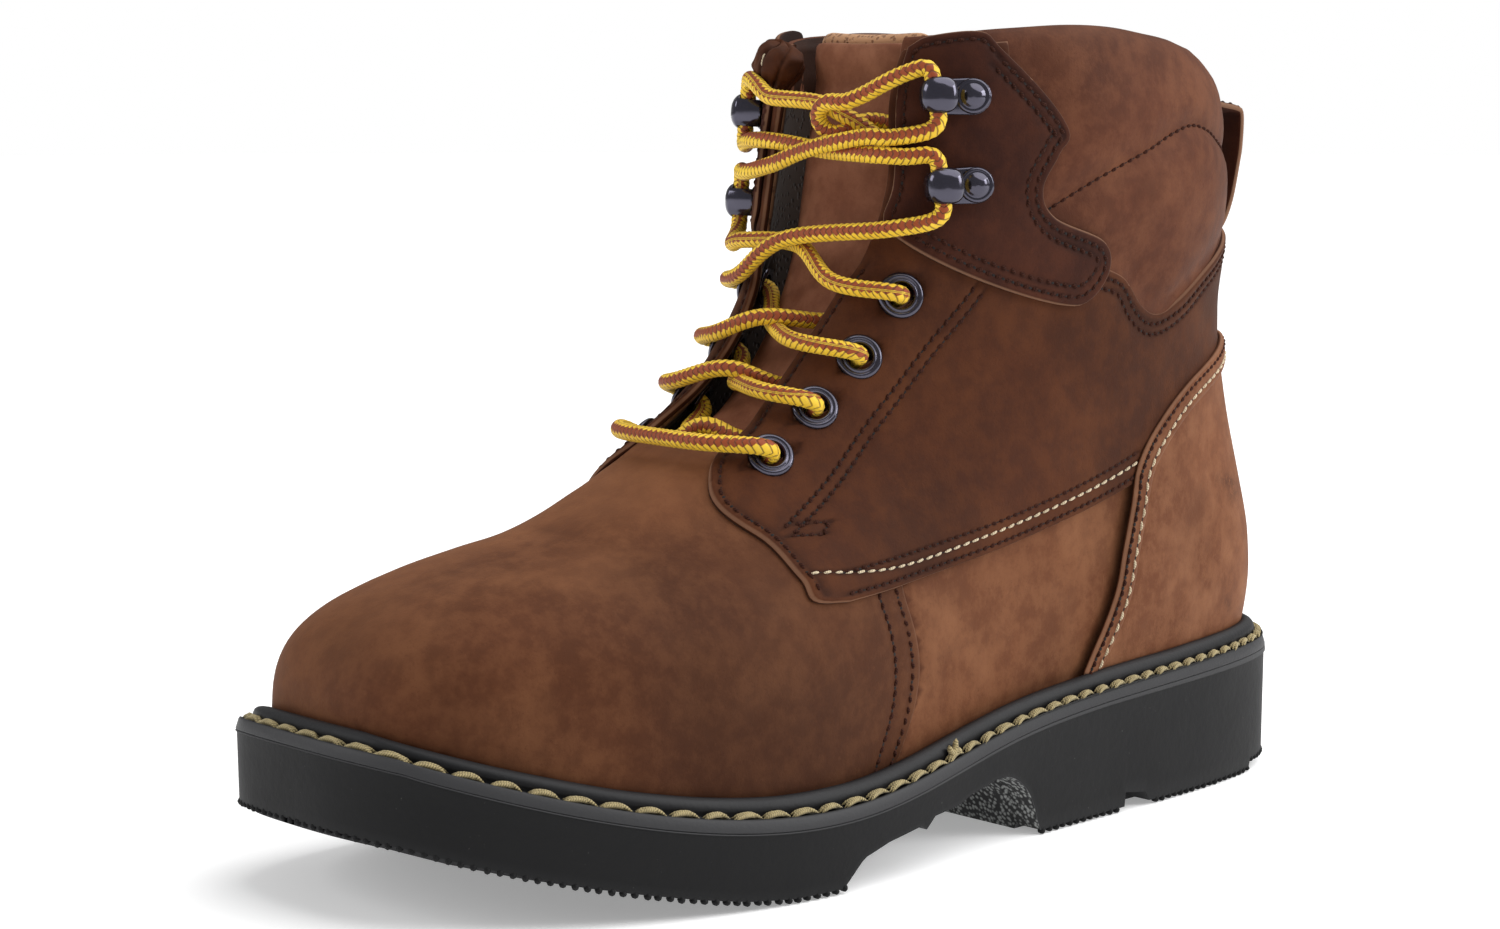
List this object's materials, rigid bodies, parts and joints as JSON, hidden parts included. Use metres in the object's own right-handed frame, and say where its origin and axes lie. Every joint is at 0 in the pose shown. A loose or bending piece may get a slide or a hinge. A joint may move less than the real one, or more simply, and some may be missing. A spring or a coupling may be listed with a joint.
{
  "type": "work boot",
  "caption": "Left lace-up work boot with a safety toe, padded collar, eyelets and lace hooks, and a welted rubber sole with a raised heel.",
  "frame": {"origin": "on the ground under the middle of the object's box", "axes": "toe towards -Y, heel towards +Y, outer (lateral) side of the left foot towards +X, up +Z"},
  "size_m": [0.122, 0.311, 0.2055],
  "materials": {
    "outsole_rubber": "matt, finely textured",
    "welt_thread": "twisted waxed thread",
    "insole_board": "raw fibre board",
    "cork": "granular",
    "steel": "plain",
    "footbed_foam": "knit over foam",
    "vamp_leather": "scuffed nubuck, brown",
    "quarter_leather": "oiled, dark brown",
    "tongue_leather": "soft, brown",
    "lining_fabric": "tan knit mesh",
    "padding_foam": "open cell foam",
    "gunmetal": "glossy gunmetal plating",
    "lace_cord": "braided, yellow with a brown stripe",
    "aglet_film": "clear film over the braid"
  },
  "bodies": {
    "boot": {"outsole": "outsole_rubber", "welt": "outsole_rubber", "toe_cap_rim": "outsole_rubber", "welt_thread": "welt_thread", "insole_board": "insole_board", "heel_stiffener": "insole_board", "cork_filler": "cork", "shank": "steel", "toe_cap": "steel", "vamp": "vamp_leather", "side_panel_lateral": "vamp_leather", "side_panel_medial": "vamp_leather", "counter_cover": "vamp_leather", "counter_strip_lateral": "vamp_leather", "counter_strip_medial": "vamp_leather", "quarter_lateral": "quarter_leather", "quarter_medial": "quarter_leather", "hook_patch_lateral": "quarter_leather", "hook_patch_medial": "quarter_leather", "collar": "quarter_leather", "pull_loop": "quarter_leather", "vamp_lining": "lining_fabric", "shaft_lining": "lining_fabric", "collar_foam": "padding_foam", "eyelet_lateral_1": "gunmetal", "eyelet_lateral_2": "gunmetal", "eyelet_lateral_3": "gunmetal", "eyelet_lateral_4": "gunmetal", "eyelet_medial_1": "gunmetal", "eyelet_medial_2": "gunmetal", "eyelet_medial_3": "gunmetal", "eyelet_medial_4": "gunmetal", "lace_hook_lateral_1": "gunmetal", "lace_hook_lateral_2": "gunmetal", "lace_hook_medial_1": "gunmetal", "lace_hook_medial_2": "gunmetal", "hook_rivet_lateral_1": "gunmetal", "hook_rivet_lateral_2": "gunmetal", "hook_rivet_medial_1": "gunmetal", "hook_rivet_medial_2": "gunmetal", "lace": "lace_cord", "aglet_first": "aglet_film", "aglet_second": "aglet_film"},
    "tongue_flap": {"tongue": "tongue_leather", "tongue_padding": "padding_foam", "tongue_lining": "lining_fabric"},
    "loose_footbed": {"footbed": "footbed_foam"}
  },
  "joints": [
    {"name": "tongue_flex", "type": "hinge", "parent": "boot", "child": "tongue_flap", "pos_m": [-0.00148, -0.05259, 0.08649], "axis": [-1, 0, 0], "range_deg": [0, 10]},
    {"name": "footbed_lift", "type": "hinge", "parent": "boot", "child": "loose_footbed", "pos_m": [-0.00148, -0.13798, 0.04031], "axis": [1, 0, 0], "range_deg": [0, 8]}
  ]
}
